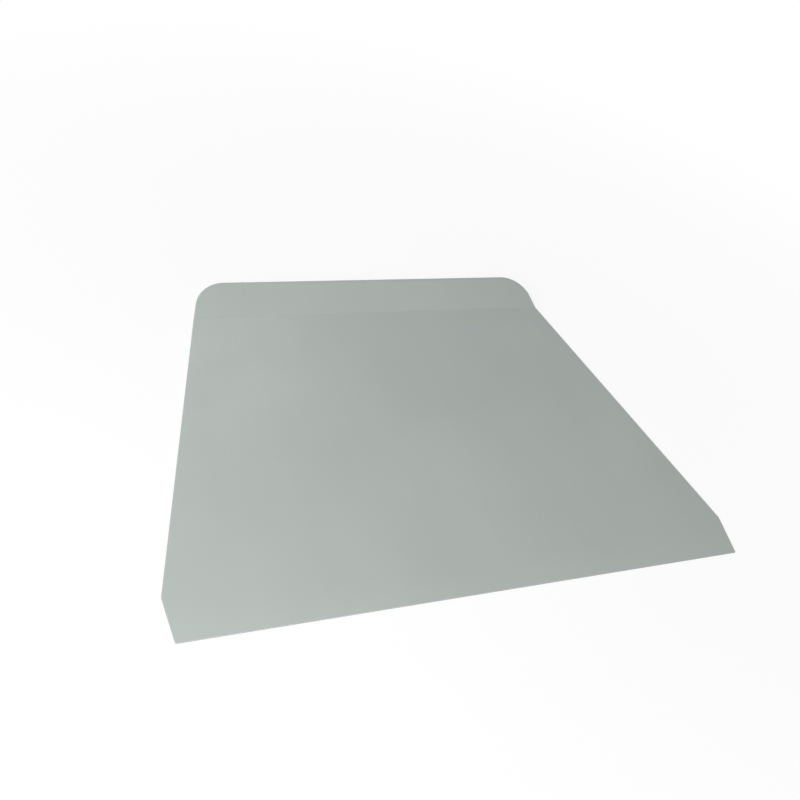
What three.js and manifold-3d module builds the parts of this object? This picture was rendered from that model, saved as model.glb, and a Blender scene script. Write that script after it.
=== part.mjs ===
// Dough scraper: a flexible tapered blade with a thick, rounded grip moulded along its top.
// Millimetres, +Z up. The scraper lies on its flat back, which is the plane z = 0. The working edge
// faces -Y and the grip +Y, and the origin is under the middle of the card.

import * as THREE from "three";
import { mergeVertices } from "three/addons/utils/BufferGeometryUtils.js";
import Module from "manifold-3d";

const wasm = await Module();
wasm.setup();

// Outline of the whole card, seen from the front
const CARD_HEIGHT = 120; // working edge to top edge
const CARD_WIDTH = 160; // across the shoulders, the widest place, before rounding
const FLANK_ANGLE = 12; // degrees by which each flank leans in towards the top
const SHOULDER_HEIGHT = 12; // shoulders above the working edge
const SHOULDER_SETBACK = 1.75; // how far each end of the working edge lies inside its shoulder
const SHOULDER_RADIUS = 4;
const EDGE_CORNER_RADIUS = 0.3;
const TOP_CORNER_RADIUS = 10;

// Blade section, a slow taper with a flat back
const EDGE_THICKNESS = 0.4; // at the working edge
const BLADE_THICKNESS = 1.8; // where the blade meets the grip
const EDGE_ROUND = 0.12; // radius of the front edge at the working edge, and of the back edge all along
const FLANK_ROUND = 0.4; // radius of the front edge where blade and grip meet, and along the grip's ends
const ROUND_LIMIT = 1 / 3; // most of the blade's thickness that a rounded edge may take

// Grip section, a wedge with a flat back
const GRIP_HEIGHT = 13; // mouth to top edge
const GRIP_STEP = 0.01; // grip's front above the blade's front at the mouth
const GRIP_RISE = 5.5; // grip's front above the blade's front at the top edge, before rounding
const GRIP_DRAFT = 5; // degrees by which the grip's ends and top lean in towards the front
const GRIP_FRONT_ROUND = 2.5; // radius of the front edge at the top
const GRIP_BACK_ROUND = 1; // radius of the back edge at the top

// Joint between the two: a thin tang in a slot, with plugs of the grip through holes in the tang
const TANG_THICKNESS = 0.7;
const TANG_ROOT = 2; // how far the tang runs back inside the blade
const GRIP_TOP_WALL = 5; // grip left above the tang
const GRIP_END_WALL = 4; // grip left outside the tang at each flank
const ANCHOR_DIAMETER = 4; // holes in the tang
const ANCHOR_PITCH = 14;
const FIT_GAP = 0.1; // clearance between blade and grip

// Fineness of round stretches
const CORNER_STEPS = 12;
const EDGE_ROUND_STEPS = 4;
const ANCHOR_SIDES = 24;

const PLASTIC_COLOUR = "#a3aaa6";

// Levels worked out from the sizes above
const edgeY = -CARD_HEIGHT / 2;
const topY = CARD_HEIGHT / 2;
const shoulderY = edgeY + SHOULDER_HEIGHT;
const mouthY = topY - GRIP_HEIGHT;
const bladeTopY = mouthY - FIT_GAP;
const tangTopY = topY - GRIP_TOP_WALL;
const tangBackZ = (BLADE_THICKNESS - TANG_THICKNESS) / 2;
const tangFrontZ = tangBackZ + TANG_THICKNESS;

const flankAngle = THREE.MathUtils.degToRad(FLANK_ANGLE);
const flankLean = Math.tan(flankAngle);
const gripLean = Math.tan(THREE.MathUtils.degToRad(GRIP_DRAFT));

// Where the grip's ends turn into its rounded top corners
const cornerStartY = topY - TOP_CORNER_RADIUS * (1 - Math.sin(flankAngle));

// Half the card's width at height y, between shoulders and top edge
function flankX(y) {
  return CARD_WIDTH / 2 - (y - shoulderY) * flankLean;
}

// How far up the blade a height lies, from 0 at the working edge to 1 at the grip
function bladeShare(y) {
  return (y - edgeY) / (bladeTopY - edgeY);
}

function bladeFrontZ(y) {
  return THREE.MathUtils.lerp(EDGE_THICKNESS, BLADE_THICKNESS, bladeShare(y));
}

// The front edge grows rounder from the working edge to the grip.
function bladeFrontRound(y) {
  const radius = THREE.MathUtils.lerp(EDGE_ROUND, FLANK_ROUND, bladeShare(y));
  return Math.min(radius, bladeFrontZ(y) * ROUND_LIMIT);
}

function bladeBackRound(y) {
  return Math.min(EDGE_ROUND, bladeFrontZ(y) * ROUND_LIMIT);
}

// How far the grip's front lies above the blade's front
function gripRise(y) {
  return THREE.MathUtils.lerp(GRIP_STEP, GRIP_RISE, (y - mouthY) / GRIP_HEIGHT);
}

// The grip's edges carry on from the blade's along its ends, and grow rounder along its top corners.
function gripRound(y, endRound, topRound) {
  const share = Math.max(0, (y - cornerStartY) / (topY - cornerStartY));
  return THREE.MathUtils.lerp(endRound, topRound, share);
}

// Points along the arc that rounds the corner between two straight sides
function cornerArc(before, corner, after) {
  const point = new THREE.Vector2(corner.x, corner.y);
  const toBefore = new THREE.Vector2(before.x, before.y).sub(point).normalize();
  const toAfter = new THREE.Vector2(after.x, after.y).sub(point).normalize();
  const halfAngle = Math.acos(toBefore.dot(toAfter)) / 2;
  const bisector = toBefore.clone().add(toAfter).normalize();
  const centre = point.clone().addScaledVector(bisector, corner.radius / Math.sin(halfAngle));
  const reach = corner.radius / Math.tan(halfAngle);
  const start = point.clone().addScaledVector(toBefore, reach).sub(centre);
  const end = point.clone().addScaledVector(toAfter, reach).sub(centre);
  const turn = Math.atan2(start.cross(end), start.dot(end));
  const points = [];
  for (let i = 0; i <= CORNER_STEPS; i++) {
    const radius = start.clone().rotateAround(new THREE.Vector2(), (turn * i) / CORNER_STEPS);
    points.push(radius.add(centre));
  }
  return points;
}

// A closed outline, counter-clockwise, from corners that have a radius unless they lie on the seam
function roundedOutline(corners) {
  return corners.flatMap((corner, i) => {
    if (!corner.radius) return [new THREE.Vector2(corner.x, corner.y)];
    const before = corners.at(i - 1);
    const after = corners[(i + 1) % corners.length];
    return cornerArc(before, corner, after);
  });
}

// For each outline point, the step inwards that moves both its sides in by one. The side at height
// seamY stays where it is, because blade and grip meet there face to face.
function inwardSteps(outline, seamY) {
  const leftOf = (a, b) => new THREE.Vector2(a.y - b.y, b.x - a.x).normalize();
  return outline.map((point, i) => {
    const before = leftOf(outline.at(i - 1), point);
    const after = leftOf(point, outline[(i + 1) % outline.length]);
    if (point.y === seamY) return new THREE.Vector2(1 / (before.x + after.x), 0);
    return before.clone().add(after).divideScalar(1 + before.dot(after));
  });
}

// A plate on the plane z = 0 with a sloping front, and with front and back edges that are rounded
// except along the seam. At height y, frontZ gives the front's level, frontInset how far its sides
// lean in towards the front, and frontRound and backRound the two radii.
function plateGeometry(outline, { seamY, frontZ, frontInset, frontRound, backRound }) {
  const inward = inwardSteps(outline, seamY);
  const rings = [];
  const addRing = (insetAt, levelAt) => {
    const ring = outline.map((point, i) => {
      const moved = point.clone().addScaledVector(inward[i], insetAt(point.y));
      return new THREE.Vector3(moved.x, moved.y, levelAt(point.y, moved.y));
    });
    rings.push(ring);
  };
  for (let i = 0; i <= EDGE_ROUND_STEPS; i++) {
    const angle = (Math.PI / 2) * (i / EDGE_ROUND_STEPS);
    addRing(
      (y) => backRound(y) * (1 - Math.sin(angle)),
      (y) => backRound(y) * (1 - Math.cos(angle)),
    );
  }
  for (let i = 0; i <= EDGE_ROUND_STEPS; i++) {
    const angle = (Math.PI / 2) * (i / EDGE_ROUND_STEPS);
    addRing(
      (y) => frontInset(y) + frontRound(y) * (1 - Math.cos(angle)),
      (y, movedY) => frontZ(movedY) - frontRound(y) * (1 - Math.sin(angle)),
    );
  }
  return closedSkin(rings);
}

// Rings of equally many points, joined into one closed surface with a flat cap at each end
function closedSkin(rings) {
  const count = rings[0].length;
  const lastStart = (rings.length - 1) * count;
  const triangles = [];
  for (let r = 0; r < rings.length - 1; r++) {
    for (let i = 0; i < count; i++) {
      const a = r * count + i;
      const b = r * count + ((i + 1) % count);
      triangles.push(a, b, b + count, a, b + count, a + count);
    }
  }
  const cap = (ring) => {
    const flat = ring.map((point) => new THREE.Vector2(point.x, point.y));
    return THREE.ShapeUtils.triangulateShape(flat, []);
  };
  for (const [a, b, c] of cap(rings[0])) triangles.push(c, b, a);
  for (const face of cap(rings.at(-1))) triangles.push(...face.map((i) => lastStart + i));
  const geometry = new THREE.BufferGeometry().setFromPoints(rings.flat());
  geometry.setIndex(triangles);
  return geometry;
}

// A closed geometry as a solid for cutting and joining
function solidOf(geometry) {
  const bare = geometry.clone();
  bare.deleteAttribute("normal");
  bare.deleteAttribute("uv");
  const merged = mergeVertices(bare);
  const mesh = new wasm.Mesh({
    numProp: 3,
    vertProperties: new Float32Array(merged.attributes.position.array),
    triVerts: new Uint32Array(merged.index.array),
  });
  return new wasm.Manifold(mesh);
}

function geometryOf(solid) {
  const mesh = solid.getMesh();
  const geometry = new THREE.BufferGeometry();
  geometry.setAttribute("position", new THREE.BufferAttribute(mesh.vertProperties, mesh.numProp));
  geometry.setIndex(new THREE.BufferAttribute(mesh.triVerts, 1));
  geometry.computeVertexNormals();
  return geometry;
}

// The tang, or with a clearance the slot that takes it
function tangGeometry(clearance) {
  const rootY = bladeTopY - TANG_ROOT;
  const farY = tangTopY + clearance;
  const halfWidth = (y) => flankX(y) - GRIP_END_WALL + clearance;
  const outline = [
    new THREE.Vector2(-halfWidth(rootY), rootY),
    new THREE.Vector2(halfWidth(rootY), rootY),
    new THREE.Vector2(halfWidth(farY), farY),
    new THREE.Vector2(-halfWidth(farY), farY),
  ];
  const depth = TANG_THICKNESS + 2 * clearance;
  const geometry = new THREE.ExtrudeGeometry(new THREE.Shape(outline), { depth, bevelEnabled: false });
  return geometry.translate(0, 0, tangBackZ - clearance);
}

// Places of the anchor holes along the tang, as many as its top edge has room for
function anchorPlaces() {
  const room = 2 * (flankX(tangTopY) - GRIP_END_WALL - ANCHOR_DIAMETER);
  const gaps = Math.floor(room / ANCHOR_PITCH);
  const y = (mouthY + tangTopY) / 2;
  return Array.from({ length: gaps + 1 }, (_, i) => new THREE.Vector2((i - gaps / 2) * ANCHOR_PITCH, y));
}

// An upright round pin between two levels
function pinGeometry(place, diameter, lowZ, highZ) {
  const pin = new THREE.CylinderGeometry(diameter / 2, diameter / 2, highZ - lowZ, ANCHOR_SIDES);
  return pin.rotateX(Math.PI / 2).translate(place.x, place.y, (lowZ + highZ) / 2);
}

function makeBlade() {
  const corners = [
    { x: -CARD_WIDTH / 2 + SHOULDER_SETBACK, y: edgeY, radius: EDGE_CORNER_RADIUS },
    { x: CARD_WIDTH / 2 - SHOULDER_SETBACK, y: edgeY, radius: EDGE_CORNER_RADIUS },
    { x: CARD_WIDTH / 2, y: shoulderY, radius: SHOULDER_RADIUS },
    { x: flankX(bladeTopY), y: bladeTopY },
    { x: -flankX(bladeTopY), y: bladeTopY },
    { x: -CARD_WIDTH / 2, y: shoulderY, radius: SHOULDER_RADIUS },
  ];
  const card = plateGeometry(roundedOutline(corners), {
    seamY: bladeTopY,
    frontZ: bladeFrontZ,
    frontInset: () => 0,
    frontRound: bladeFrontRound,
    backRound: bladeBackRound,
  });
  let solid = solidOf(card).add(solidOf(tangGeometry(0)));
  for (const place of anchorPlaces()) {
    const hole = pinGeometry(place, ANCHOR_DIAMETER, 0, BLADE_THICKNESS);
    solid = solid.subtract(solidOf(hole));
  }
  return geometryOf(solid);
}

function makeGrip() {
  const corners = [
    { x: -flankX(mouthY), y: mouthY },
    { x: flankX(mouthY), y: mouthY },
    { x: flankX(topY), y: topY, radius: TOP_CORNER_RADIUS },
    { x: -flankX(topY), y: topY, radius: TOP_CORNER_RADIUS },
  ];
  const wedge = plateGeometry(roundedOutline(corners), {
    seamY: mouthY,
    frontZ: (y) => BLADE_THICKNESS + gripRise(y),
    frontInset: (y) => gripLean * gripRise(y),
    frontRound: (y) => gripRound(y, bladeFrontRound(bladeTopY), GRIP_FRONT_ROUND),
    backRound: (y) => gripRound(y, bladeBackRound(bladeTopY), GRIP_BACK_ROUND),
  });
  let solid = solidOf(wedge).subtract(solidOf(tangGeometry(FIT_GAP)));
  // Each plug ends half-way into the thin back wall, and as deep in the front wall.
  const plugRoot = (tangBackZ - FIT_GAP) / 2;
  const plugDiameter = ANCHOR_DIAMETER - 2 * FIT_GAP;
  for (const place of anchorPlaces()) {
    const plug = pinGeometry(place, plugDiameter, plugRoot, tangFrontZ + FIT_GAP + plugRoot);
    solid = solid.add(solidOf(plug));
  }
  return geometryOf(solid);
}

const bladePlastic = new THREE.MeshStandardMaterial({ color: PLASTIC_COLOUR, roughness: 0.42, metalness: 0 });
const gripPlastic = new THREE.MeshStandardMaterial({ color: PLASTIC_COLOUR, roughness: 0.46, metalness: 0 });

const scraper = new THREE.Group();

const blade = new THREE.Mesh(makeBlade(), bladePlastic);
blade.name = "blade";
scraper.add(blade);

const grip = new THREE.Mesh(makeGrip(), gripPlastic);
grip.name = "grip";
scraper.add(grip);

export default scraper;
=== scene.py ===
"""Looks of the dough scraper: a satin plastic blade and its moulded-on grip, on a pale floor.

Metres, +Z up, in the frame of the solids: the scraper lies on its back, working edge to -Y, grip to +Y.
"""

import math

import bmesh
import bpy
from mathutils import Matrix, Vector


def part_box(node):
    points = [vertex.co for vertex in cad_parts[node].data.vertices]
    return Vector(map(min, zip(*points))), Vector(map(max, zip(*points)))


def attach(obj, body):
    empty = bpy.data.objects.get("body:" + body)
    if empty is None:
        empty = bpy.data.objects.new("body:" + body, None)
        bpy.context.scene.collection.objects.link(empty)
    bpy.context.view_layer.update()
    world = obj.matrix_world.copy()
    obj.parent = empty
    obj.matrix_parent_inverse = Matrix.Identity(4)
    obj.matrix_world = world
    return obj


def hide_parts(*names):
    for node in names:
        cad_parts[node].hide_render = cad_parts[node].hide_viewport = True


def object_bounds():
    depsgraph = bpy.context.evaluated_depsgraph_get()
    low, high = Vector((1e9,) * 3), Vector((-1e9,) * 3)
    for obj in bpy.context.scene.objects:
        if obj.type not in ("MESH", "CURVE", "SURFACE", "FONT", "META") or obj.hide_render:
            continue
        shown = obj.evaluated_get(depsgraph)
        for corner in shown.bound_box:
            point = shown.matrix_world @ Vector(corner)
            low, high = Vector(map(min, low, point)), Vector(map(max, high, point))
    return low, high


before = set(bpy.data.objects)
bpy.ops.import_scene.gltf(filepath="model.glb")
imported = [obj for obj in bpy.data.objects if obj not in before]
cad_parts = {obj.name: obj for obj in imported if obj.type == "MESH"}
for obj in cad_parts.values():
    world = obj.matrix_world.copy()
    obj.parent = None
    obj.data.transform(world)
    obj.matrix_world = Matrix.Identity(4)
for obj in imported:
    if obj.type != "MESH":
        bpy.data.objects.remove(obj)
cad_low, cad_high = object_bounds()

# Outline of the card
FLANK_ANGLE = math.radians(12)
SHOULDER_HEIGHT = 0.012  # shoulders above the working edge
SHOULDER_SETBACK = 0.00175  # how far each end of the working edge lies inside its shoulder
SHOULDER_RADIUS = 0.004
EDGE_CORNER_RADIUS = 0.0003
TOP_CORNER_RADIUS = 0.01

# Sections of blade and grip
EDGE_THICKNESS = 0.0004  # at the working edge
EDGE_ROUND = 0.00012  # radius of the blade's back edge, and of its front edge at the working edge
FLANK_ROUND = 0.0004  # radius of the front edge where blade and grip meet, and along the grip's ends
GRIP_STEP = 0.00001  # grip's front above the blade's front at the mouth
GRIP_RISE = 0.0055  # grip's front above the blade's front at the top edge, before rounding
GRIP_DRAFT = math.radians(5)  # by which the grip's ends and top lean in towards the front
GRIP_FRONT_ROUND = 0.0025  # radius of the front edge at the top
GRIP_BACK_ROUND = 0.001  # radius of the back edge at the top

# Fineness of round stretches
CORNER_STEPS = 24
EDGE_ROUND_STEPS = 8
SHARP_ANGLE = math.radians(40)  # least turn between two faces that leaves their edge sharp
NORMAL_WEIGHT = 100  # the highest, at which the larger of two faces sets the shading

# Plastic: linear colours, and marks of moulding and use with their sizes in metres
PLASTIC_TINT = Vector((0.366, 0.403, 0.383))
TINT_SPREAD = 0.04  # share by which the darkest and the lightest clouds depart from the tint
PLASTIC_IOR = 1.49
BLADE_ROUGHNESS = 0.42
GRIP_ROUGHNESS = 0.46
ROUGHNESS_SPREAD = 0.04  # how far smudges depart from the roughness
ROUGHENING = 0.06  # what scuffs and wear add to the roughness
NOISE_MIDDLE = 0.5  # value about which a noise varies
NOISE_DETAIL = 2.0  # finer octaves in a noise, where its mark has no detail of its own
CLOUD_SIZE = Vector((0.045, 0.045, 0.045))
CLOUD_REACH = 0.3  # how far from the middle of their noise the clouds are darkest or lightest
STREAK_SIZE = Vector((0.005, 0.08, 0.005))
STREAK_SHARE = 0.25  # strength of the streaks beside that of the clouds
GRAIN_SIZE = Vector((0.0003, 0.0003, 0.0003))
WAVE_SIZE = Vector((0.05, 0.05, 0.05))
WAVE_DETAIL = 1.0
SMUDGE_SIZE = Vector((0.018, 0.018, 0.018))
SMUDGE_REACH = 0.2  # how far from the middle of their noise the smudges are smoothest or roughest
SCUFF_SIZE = Vector((0.00015, 0.025, 0.00015))
SCUFF_DETAIL = 0.0
SCUFF_RAMP = (0.68, 0.76)  # noise over which a hairline sets in
SCUFF_ANGLE = math.radians(14)
SCUFF_PATCH_SIZE = Vector((0.03, 0.03, 0.03))
SCUFF_PATCH_RAMP = (0.5, 0.62)  # noise over which a patch of hairlines sets in
SPECK_PITCH = Vector((0.022, 0.022, 0.022))
SPECK_SIZE = 0.0004
SPECK_CORE = 0.5  # share of a speck's radius that is fully dark
SPECK_SHARE = 0.35  # share of the places, one pitch apart, that have a speck
SPECK_TINT = (0.277, 0.296, 0.281, 1)
WEAR_HEIGHT = 0.009  # how far up from the working edge the wear reaches
WEAR_LIGHTENING = 0.2  # strength of the wear beside that of the clouds

# Depths of the marks, in metres
WAVE_DEPTH = 60e-6
GRAIN_DEPTH = 3e-6
SCUFF_DEPTH = 1.5e-6

# Sockets of a colour mix node by their place, because several share a name
MIX_SHARE = 0
MIX_FIRST = 6
MIX_SECOND = 7
MIX_RESULT = 2

# Camera, at the photograph's viewing angle
LOOK_AT = Vector((-0.00333, 0.00863, 0.0))
CAMERA_DISTANCE = 0.26125
CAMERA_AZIMUTH = math.radians(-29.03)
CAMERA_ELEVATION = math.radians(43.78)
CAMERA_ROLL = math.radians(16.84)
CAMERA_LENS = 38.7  # millimetres
SENSOR_WIDTH = 36  # millimetres
CLIP_START = 0.01

# Round lamps: angles in degrees seen from the card, lengths in metres and power in watts
LAMPS = {
    "key": {"azimuth": -48, "elevation": 32, "distance": 0.42, "diameter": 0.3, "power": 1.79},
    "back": {"azimuth": 180, "elevation": 40, "distance": 0.7, "diameter": 0.3, "power": 0.73},
}

# World and floor
WORLD_COLOUR = (1, 1, 1, 1)
WORLD_STRENGTH = 0.356  # of the light that falls on the card
SEEN_STRENGTH = 1.0  # plain white, of the world as it is seen
FLOOR_RADIUS = 3.0
FLOOR_SIDES = 64
FLOOR_DROP = 0.00005  # from the card's back to the floor, so that the two don't coincide
FLOOR_COLOUR = (0.86, 0.86, 0.86, 1)
FLOOR_WHITENESS = 0.86  # share of plain white in what the camera sees of the floor under the card
FLOOR_FADE = (0.09, 0.28)  # distances from the card's middle over which the floor turns plain white

# Levels worked out from the frame
_, blade_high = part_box("blade")
grip_low, grip_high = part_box("grip")
edge_y = cad_low.y
top_y = cad_high.y
shoulder_y = edge_y + SHOULDER_HEIGHT
mouth_y = grip_low.y
blade_thickness = blade_high.z
flank_lean = math.tan(FLANK_ANGLE)
grip_lean = math.tan(GRIP_DRAFT)
corner_start_y = top_y - TOP_CORNER_RADIUS * (1 - math.sin(FLANK_ANGLE))


def lerp(low, high, share):
    return low + (high - low) * share


def flank_x(y):
    """Half the card's width at height y, between the shoulders and the top edge."""
    return grip_high.x - (y - mouth_y) * flank_lean


def blade_share(y):
    """How far up the blade a height lies, from 0 at the working edge to 1 at the grip's mouth."""
    return (y - edge_y) / (mouth_y - edge_y)


def blade_front_z(y):
    return lerp(EDGE_THICKNESS, blade_thickness, blade_share(y))


def blade_front_round(y):
    return lerp(EDGE_ROUND, FLANK_ROUND, blade_share(y))


def grip_rise(y):
    """How far the grip's front lies above the blade's front."""
    return lerp(GRIP_STEP, GRIP_RISE, (y - mouth_y) / (top_y - mouth_y))


def grip_round(y, end_round, top_round):
    """The grip's edges carry on from the blade's along its ends, and grow rounder along its top corners."""
    share = max(0.0, (y - corner_start_y) / (top_y - corner_start_y))
    return lerp(end_round, top_round, share)


# Meshes


def corner_arc(before, corner, after, radius):
    """Points along the arc that rounds the corner between two straight sides."""
    to_before = (before - corner).normalized()
    to_after = (after - corner).normalized()
    half_angle = to_before.angle(to_after) / 2
    bisector = (to_before + to_after).normalized()
    centre = corner + bisector * (radius / math.sin(half_angle))
    reach = radius / math.tan(half_angle)
    start = corner + to_before * reach - centre
    end = corner + to_after * reach - centre
    turn = math.atan2(start.cross(end), start.dot(end))
    steps = [turn * i / CORNER_STEPS for i in range(CORNER_STEPS + 1)]
    return [centre + Matrix.Rotation(angle, 2) @ start for angle in steps]


def rounded_outline(corners):
    """A closed outline, counter-clockwise, from (x, y, radius) corners, where a radius of 0 stays sharp."""
    points = [Vector((x, y)) for x, y, _ in corners]
    outline = []
    for i, (_, _, radius) in enumerate(corners):
        after = points[(i + 1) % len(points)]
        if radius:
            outline += corner_arc(points[i - 1], points[i], after, radius)
        else:
            outline.append(points[i])
    return outline


def inward_steps(outline):
    """For each outline point, the step inwards that moves both its sides in by one.

    The side along the grip's mouth stays where it is, because blade and grip meet there face to face.
    """
    def left_of(a, b):
        return Vector((a.y - b.y, b.x - a.x)).normalized()

    steps = []
    for i, point in enumerate(outline):
        before = left_of(outline[i - 1], point)
        after = left_of(point, outline[(i + 1) % len(outline)])
        if point.y == mouth_y:
            steps.append(Vector((1 / (before.x + after.x), 0)))
        else:
            steps.append((before + after) / (1 + before.dot(after)))
    return steps


def plate_rings(outline, front_z, front_inset, front_round, back_round):
    """Rings of points from the back of a plate, round its edges, to its sloping front.

    At height y, front_z gives the front's level, front_inset how far its sides lean in towards the front,
    and front_round and back_round the radii of its edges.
    """
    inward = inward_steps(outline)
    angles = [math.pi / 2 * i / EDGE_ROUND_STEPS for i in range(EDGE_ROUND_STEPS + 1)]
    rings = []
    for angle in angles:
        ring = []
        for point, step in zip(outline, inward):
            radius = back_round(point.y)
            moved = point + step * radius * (1 - math.sin(angle))
            ring.append(Vector((moved.x, moved.y, radius * (1 - math.cos(angle)))))
        rings.append(ring)
    for angle in angles:
        ring = []
        for point, step in zip(outline, inward):
            radius = front_round(point.y)
            moved = point + step * (front_inset(point.y) + radius * (1 - math.cos(angle)))
            level = front_z(moved.y) - radius * (1 - math.sin(angle))
            ring.append(Vector((moved.x, moved.y, level)))
        rings.append(ring)
    return rings


def skin(name, rings):
    """One closed mesh from rings of equally many points, capped at both ends, smooth but for sharp edges."""
    bm = bmesh.new()
    loops = [[bm.verts.new(point) for point in ring] for ring in rings]
    count = len(rings[0])
    for low, high in zip(loops, loops[1:]):
        for i in range(count):
            j = (i + 1) % count
            bm.faces.new((low[i], low[j], high[j], high[i]))
    bm.faces.new(reversed(loops[0]))
    bm.faces.new(loops[-1])
    bm.normal_update()
    for face in bm.faces:
        face.smooth = True
    for edge in bm.edges:
        edge.smooth = edge.calc_face_angle() < SHARP_ANGLE
    mesh = bpy.data.meshes.new(name)
    bm.to_mesh(mesh)
    bm.free()
    piece = bpy.data.objects.new(name, mesh)
    bpy.context.scene.collection.objects.link(piece)
    # Large flat faces keep their own normal, so that only the round edges shade round.
    weighted = piece.modifiers.new("flat_faces_first", "WEIGHTED_NORMAL")
    weighted.weight = NORMAL_WEIGHT
    weighted.keep_sharp = True
    return piece


def make_blade():
    half_width = flank_x(shoulder_y)
    half_edge = half_width - SHOULDER_SETBACK
    half_mouth = flank_x(mouth_y)
    outline = rounded_outline([
        (-half_edge, edge_y, EDGE_CORNER_RADIUS),
        (half_edge, edge_y, EDGE_CORNER_RADIUS),
        (half_width, shoulder_y, SHOULDER_RADIUS),
        (half_mouth, mouth_y, 0),
        (-half_mouth, mouth_y, 0),
        (-half_width, shoulder_y, SHOULDER_RADIUS),
    ])
    rings = plate_rings(
        outline,
        front_z=blade_front_z,
        front_inset=lambda y: 0.0,
        front_round=blade_front_round,
        back_round=lambda y: EDGE_ROUND,
    )
    return skin("blade_skin", rings)


def make_grip():
    half_mouth = flank_x(mouth_y)
    half_top = flank_x(top_y)
    outline = rounded_outline([
        (-half_mouth, mouth_y, 0),
        (half_mouth, mouth_y, 0),
        (half_top, top_y, TOP_CORNER_RADIUS),
        (-half_top, top_y, TOP_CORNER_RADIUS),
    ])
    rings = plate_rings(
        outline,
        front_z=lambda y: blade_thickness + grip_rise(y),
        front_inset=lambda y: grip_lean * grip_rise(y),
        front_round=lambda y: grip_round(y, FLANK_ROUND, GRIP_FRONT_ROUND),
        back_round=lambda y: grip_round(y, EDGE_ROUND, GRIP_BACK_ROUND),
    )
    return skin("grip_skin", rings)


# Materials


def add(tree, kind, inputs=None, **settings):
    """A new shader node with its settings, and with inputs that are values or other nodes' outputs."""
    node = tree.nodes.new("ShaderNode" + kind)
    for name, value in settings.items():
        setattr(node, name, value)
    for name, value in (inputs or {}).items():
        if isinstance(value, bpy.types.NodeSocket):
            tree.links.new(value, node.inputs[name])
        else:
            node.inputs[name].default_value = value
    return node


def combine(tree, operation, first, second):
    return add(tree, "Math", {0: first, 1: second}, operation=operation).outputs[0]


def mix_colours(tree, share, first, second):
    """The first colour at share 0, the second at share 1, and colours between them."""
    inputs = {MIX_SHARE: share, MIX_FIRST: first, MIX_SECOND: second}
    return add(tree, "Mix", inputs, data_type="RGBA").outputs[MIX_RESULT]


def remap(tree, value, from_low, from_high, to_low=0.0, to_high=1.0):
    """Value clamped to one range and moved to another."""
    inputs = {
        "Value": value,
        "From Min": from_low,
        "From Max": from_high,
        "To Min": to_low,
        "To Max": to_high,
    }
    return add(tree, "MapRange", inputs).outputs[0]


def marks_space(tree, coords, size, angle=0.0):
    """Coordinates in which marks of that size along each axis, turned by an angle, are one unit long."""
    inputs = {"Vector": coords, "Rotation": (0, 0, angle), "Scale": size}
    return add(tree, "Mapping", inputs, vector_type="TEXTURE").outputs[0]


def noise(tree, coords, size, angle=0.0, detail=NOISE_DETAIL):
    """Soft noise with marks of that size."""
    space = marks_space(tree, coords, size, angle)
    return add(tree, "TexNoise", {"Vector": space, "Scale": 1.0, "Detail": detail}).outputs[0]


def specks(tree, coords):
    """1 on the few tiny dark specks in the plastic, else 0."""
    inputs = {"Vector": marks_space(tree, coords, SPECK_PITCH), "Scale": 1.0}
    cells = add(tree, "TexVoronoi", inputs, voronoi_dimensions="2D")
    radius = SPECK_SIZE / 2 / SPECK_PITCH.x
    dots = remap(tree, cells.outputs["Distance"], radius * SPECK_CORE, radius, 1.0, 0.0)
    chance = add(tree, "SeparateColor", {0: cells.outputs["Color"]}).outputs[0]
    chosen = combine(tree, "LESS_THAN", chance, SPECK_SHARE)
    return combine(tree, "MULTIPLY", dots, chosen)


def scuffs(tree, coords):
    """1 in fine hairlines that run from grip to working edge, in patches, else 0."""
    lines = remap(tree, noise(tree, coords, SCUFF_SIZE, SCUFF_ANGLE, SCUFF_DETAIL), *SCUFF_RAMP)
    patches = remap(tree, noise(tree, coords, SCUFF_PATCH_SIZE), *SCUFF_PATCH_RAMP)
    return combine(tree, "MULTIPLY", lines, patches)


def edge_wear(tree, coords):
    """1 at the working edge, falling to 0 further up."""
    height = add(tree, "SeparateXYZ", {0: coords}).outputs["Y"]
    return remap(tree, height, edge_y, edge_y + WEAR_HEIGHT, 1.0, 0.0)


def plastic_colour(tree, coords, worn):
    """The tint in soft clouds and streaks, lighter where it is worn, with a few specks."""
    clouds = noise(tree, coords, CLOUD_SIZE)
    streaks = combine(tree, "MULTIPLY", noise(tree, coords, STREAK_SIZE), STREAK_SHARE)
    wear = combine(tree, "MULTIPLY", worn, WEAR_LIGHTENING)
    tone = combine(tree, "ADD", combine(tree, "ADD", clouds, streaks), wear)
    middle = NOISE_MIDDLE * (1 + STREAK_SHARE)
    lightness = remap(tree, tone, middle - CLOUD_REACH, middle + CLOUD_REACH)
    darkest = (*(PLASTIC_TINT * (1 - TINT_SPREAD)), 1)
    lightest = (*(PLASTIC_TINT * (1 + TINT_SPREAD)), 1)
    cloudy = mix_colours(tree, lightness, darkest, lightest)
    return mix_colours(tree, specks(tree, coords), cloudy, SPECK_TINT)


def plastic_roughness(tree, coords, roughness, scuffed, worn):
    """The roughness with smudges in it, higher where it is scuffed or worn."""
    smudges = remap(
        tree,
        noise(tree, coords, SMUDGE_SIZE),
        NOISE_MIDDLE - SMUDGE_REACH,
        NOISE_MIDDLE + SMUDGE_REACH,
        roughness - ROUGHNESS_SPREAD,
        roughness + ROUGHNESS_SPREAD,
    )
    rougher = combine(tree, "MULTIPLY", combine(tree, "ADD", scuffed, worn), ROUGHENING)
    return combine(tree, "ADD", smudges, rougher)


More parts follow.
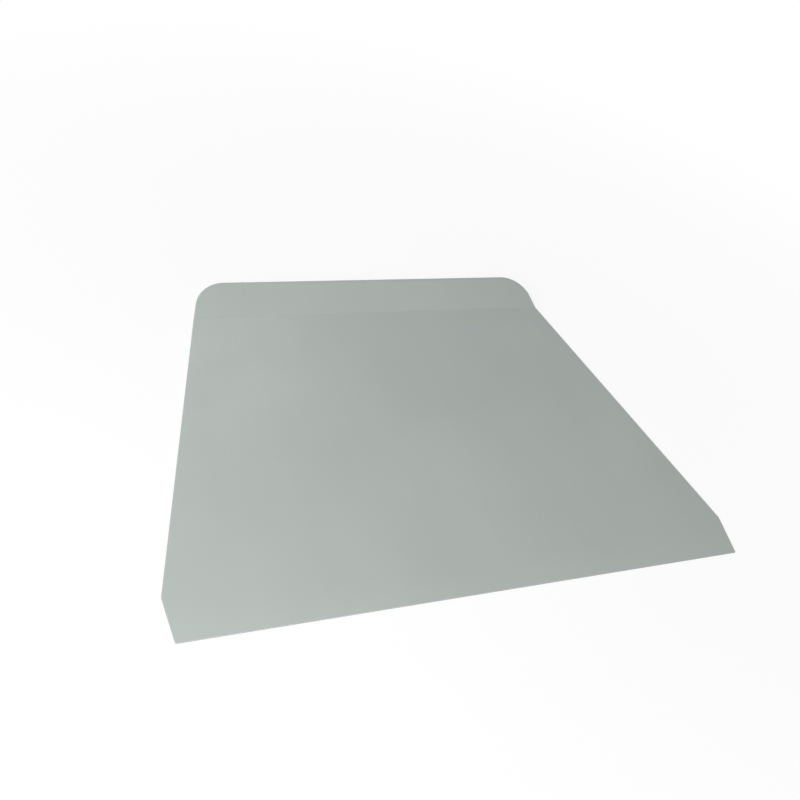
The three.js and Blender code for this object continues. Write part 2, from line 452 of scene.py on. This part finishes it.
def plastic_relief(tree, coords, scuffed):
    """Normals of shallow moulding waves, a fine grain and the hairline scuffs."""
    waves = combine(tree, "MULTIPLY", noise(tree, coords, WAVE_SIZE, detail=WAVE_DETAIL), WAVE_DEPTH)
    grain = combine(tree, "MULTIPLY", noise(tree, coords, GRAIN_SIZE), GRAIN_DEPTH)
    scratches = combine(tree, "MULTIPLY", scuffed, -SCUFF_DEPTH)
    height = combine(tree, "ADD", combine(tree, "ADD", waves, grain), scratches)
    return add(tree, "Bump", {"Height": height, "Distance": 1.0}).outputs[0]


def plastic(name, roughness):
    """Satin moulded plastic, nearly even in colour, with the marks of its moulding and of use."""
    material = bpy.data.materials.new(name)
    material.use_nodes = True
    tree = material.node_tree
    coords = add(tree, "TexCoord").outputs["Object"]
    scuffed = scuffs(tree, coords)
    worn = edge_wear(tree, coords)
    sockets = tree.nodes["Principled BSDF"].inputs
    sockets["IOR"].default_value = PLASTIC_IOR
    tree.links.new(plastic_colour(tree, coords, worn), sockets["Base Color"])
    tree.links.new(plastic_roughness(tree, coords, roughness, scuffed, worn), sockets["Roughness"])
    tree.links.new(plastic_relief(tree, coords, scuffed), sockets["Normal"])
    return material


# Stage


def seen_rays(tree):
    """1 for rays from the camera, off glossy surfaces and through clear ones, else 0."""
    path = add(tree, "LightPath").outputs
    seen = combine(tree, "MAXIMUM", path["Is Camera Ray"], path["Is Glossy Ray"])
    return combine(tree, "MAXIMUM", seen, path["Is Transmission Ray"])


def floor_paper():
    """Pale paper that is seen nearly white, with the card's shadow on it, and plain white further out."""
    material = bpy.data.materials.new("floor_paper")
    material.use_nodes = True
    tree = material.node_tree
    tree.nodes.clear()
    paper = add(tree, "BsdfDiffuse", {"Color": FLOOR_COLOUR})
    white = add(tree, "Emission")
    coords = add(tree, "TexCoord").outputs["Object"]
    distance = add(tree, "VectorMath", {0: coords}, operation="LENGTH").outputs["Value"]
    whiteness = remap(tree, distance, *FLOOR_FADE, FLOOR_WHITENESS, 1.0)
    share = combine(tree, "MULTIPLY", seen_rays(tree), whiteness)
    mix = add(tree, "MixShader", {0: share, 1: paper.outputs[0], 2: white.outputs[0]})
    add(tree, "OutputMaterial", {"Surface": mix.outputs[0]})
    return material


def make_floor():
    mesh = bpy.data.meshes.new("floor")
    bm = bmesh.new()
    bmesh.ops.create_circle(bm, cap_ends=True, radius=FLOOR_RADIUS, segments=FLOOR_SIDES)
    bm.to_mesh(mesh)
    bm.free()
    mesh.materials.append(floor_paper())
    floor = bpy.data.objects.new("floor", mesh)
    floor.location.z = cad_low.z - FLOOR_DROP
    bpy.context.scene.collection.objects.link(floor)


def make_world():
    world = bpy.data.worlds.new("studio")
    world.use_nodes = True
    tree = world.node_tree
    background = tree.nodes["Background"]
    background.inputs["Color"].default_value = WORLD_COLOUR
    strength = remap(tree, seen_rays(tree), 0.0, 1.0, WORLD_STRENGTH, SEEN_STRENGTH)
    tree.links.new(strength, background.inputs["Strength"])
    bpy.context.scene.world = world


def towards(azimuth, elevation):
    """Direction from the card, where azimuth 0 is the side of the working edge and 90 degrees is +X."""
    flat = math.cos(elevation)
    return Vector((flat * math.sin(azimuth), -flat * math.cos(azimuth), math.sin(elevation)))


def make_lamp(name, azimuth, elevation, distance, diameter, power):
    light = bpy.data.lights.new(name, "AREA")
    light.shape = "DISK"
    light.size = diameter
    light.energy = power
    lamp = bpy.data.objects.new(name, light)
    back = towards(math.radians(azimuth), math.radians(elevation))
    lamp.location = LOOK_AT + back * distance
    lamp.rotation_euler = back.to_track_quat("Z", "Y").to_euler()
    lamp.visible_camera = False
    bpy.context.scene.collection.objects.link(lamp)


def make_camera():
    data = bpy.data.cameras.new("camera")
    data.sensor_width = SENSOR_WIDTH
    data.lens = CAMERA_LENS
    data.clip_start = CLIP_START
    camera = bpy.data.objects.new("camera", data)
    back = towards(CAMERA_AZIMUTH, CAMERA_ELEVATION)
    turn = back.to_track_quat("Z", "Y").to_matrix() @ Matrix.Rotation(CAMERA_ROLL, 3, "Z")
    camera.matrix_world = Matrix.Translation(LOOK_AT + back * CAMERA_DISTANCE) @ turn.to_4x4()
    bpy.context.scene.collection.objects.link(camera)
    bpy.context.scene.camera = camera


def main():
    bpy.context.scene.view_settings.view_transform = "Standard"
    make_camera()
    make_world()
    for name, lamp in LAMPS.items():
        make_lamp(name, **lamp)
    make_floor()

    blade = make_blade()
    blade.data.materials.append(plastic("blade_plastic_satin", BLADE_ROUGHNESS))
    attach(blade, "root")
    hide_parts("blade")

    grip = make_grip()
    grip.data.materials.append(plastic("grip_plastic_satin", GRIP_ROUGHNESS))
    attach(grip, "root")
    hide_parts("grip")


main()
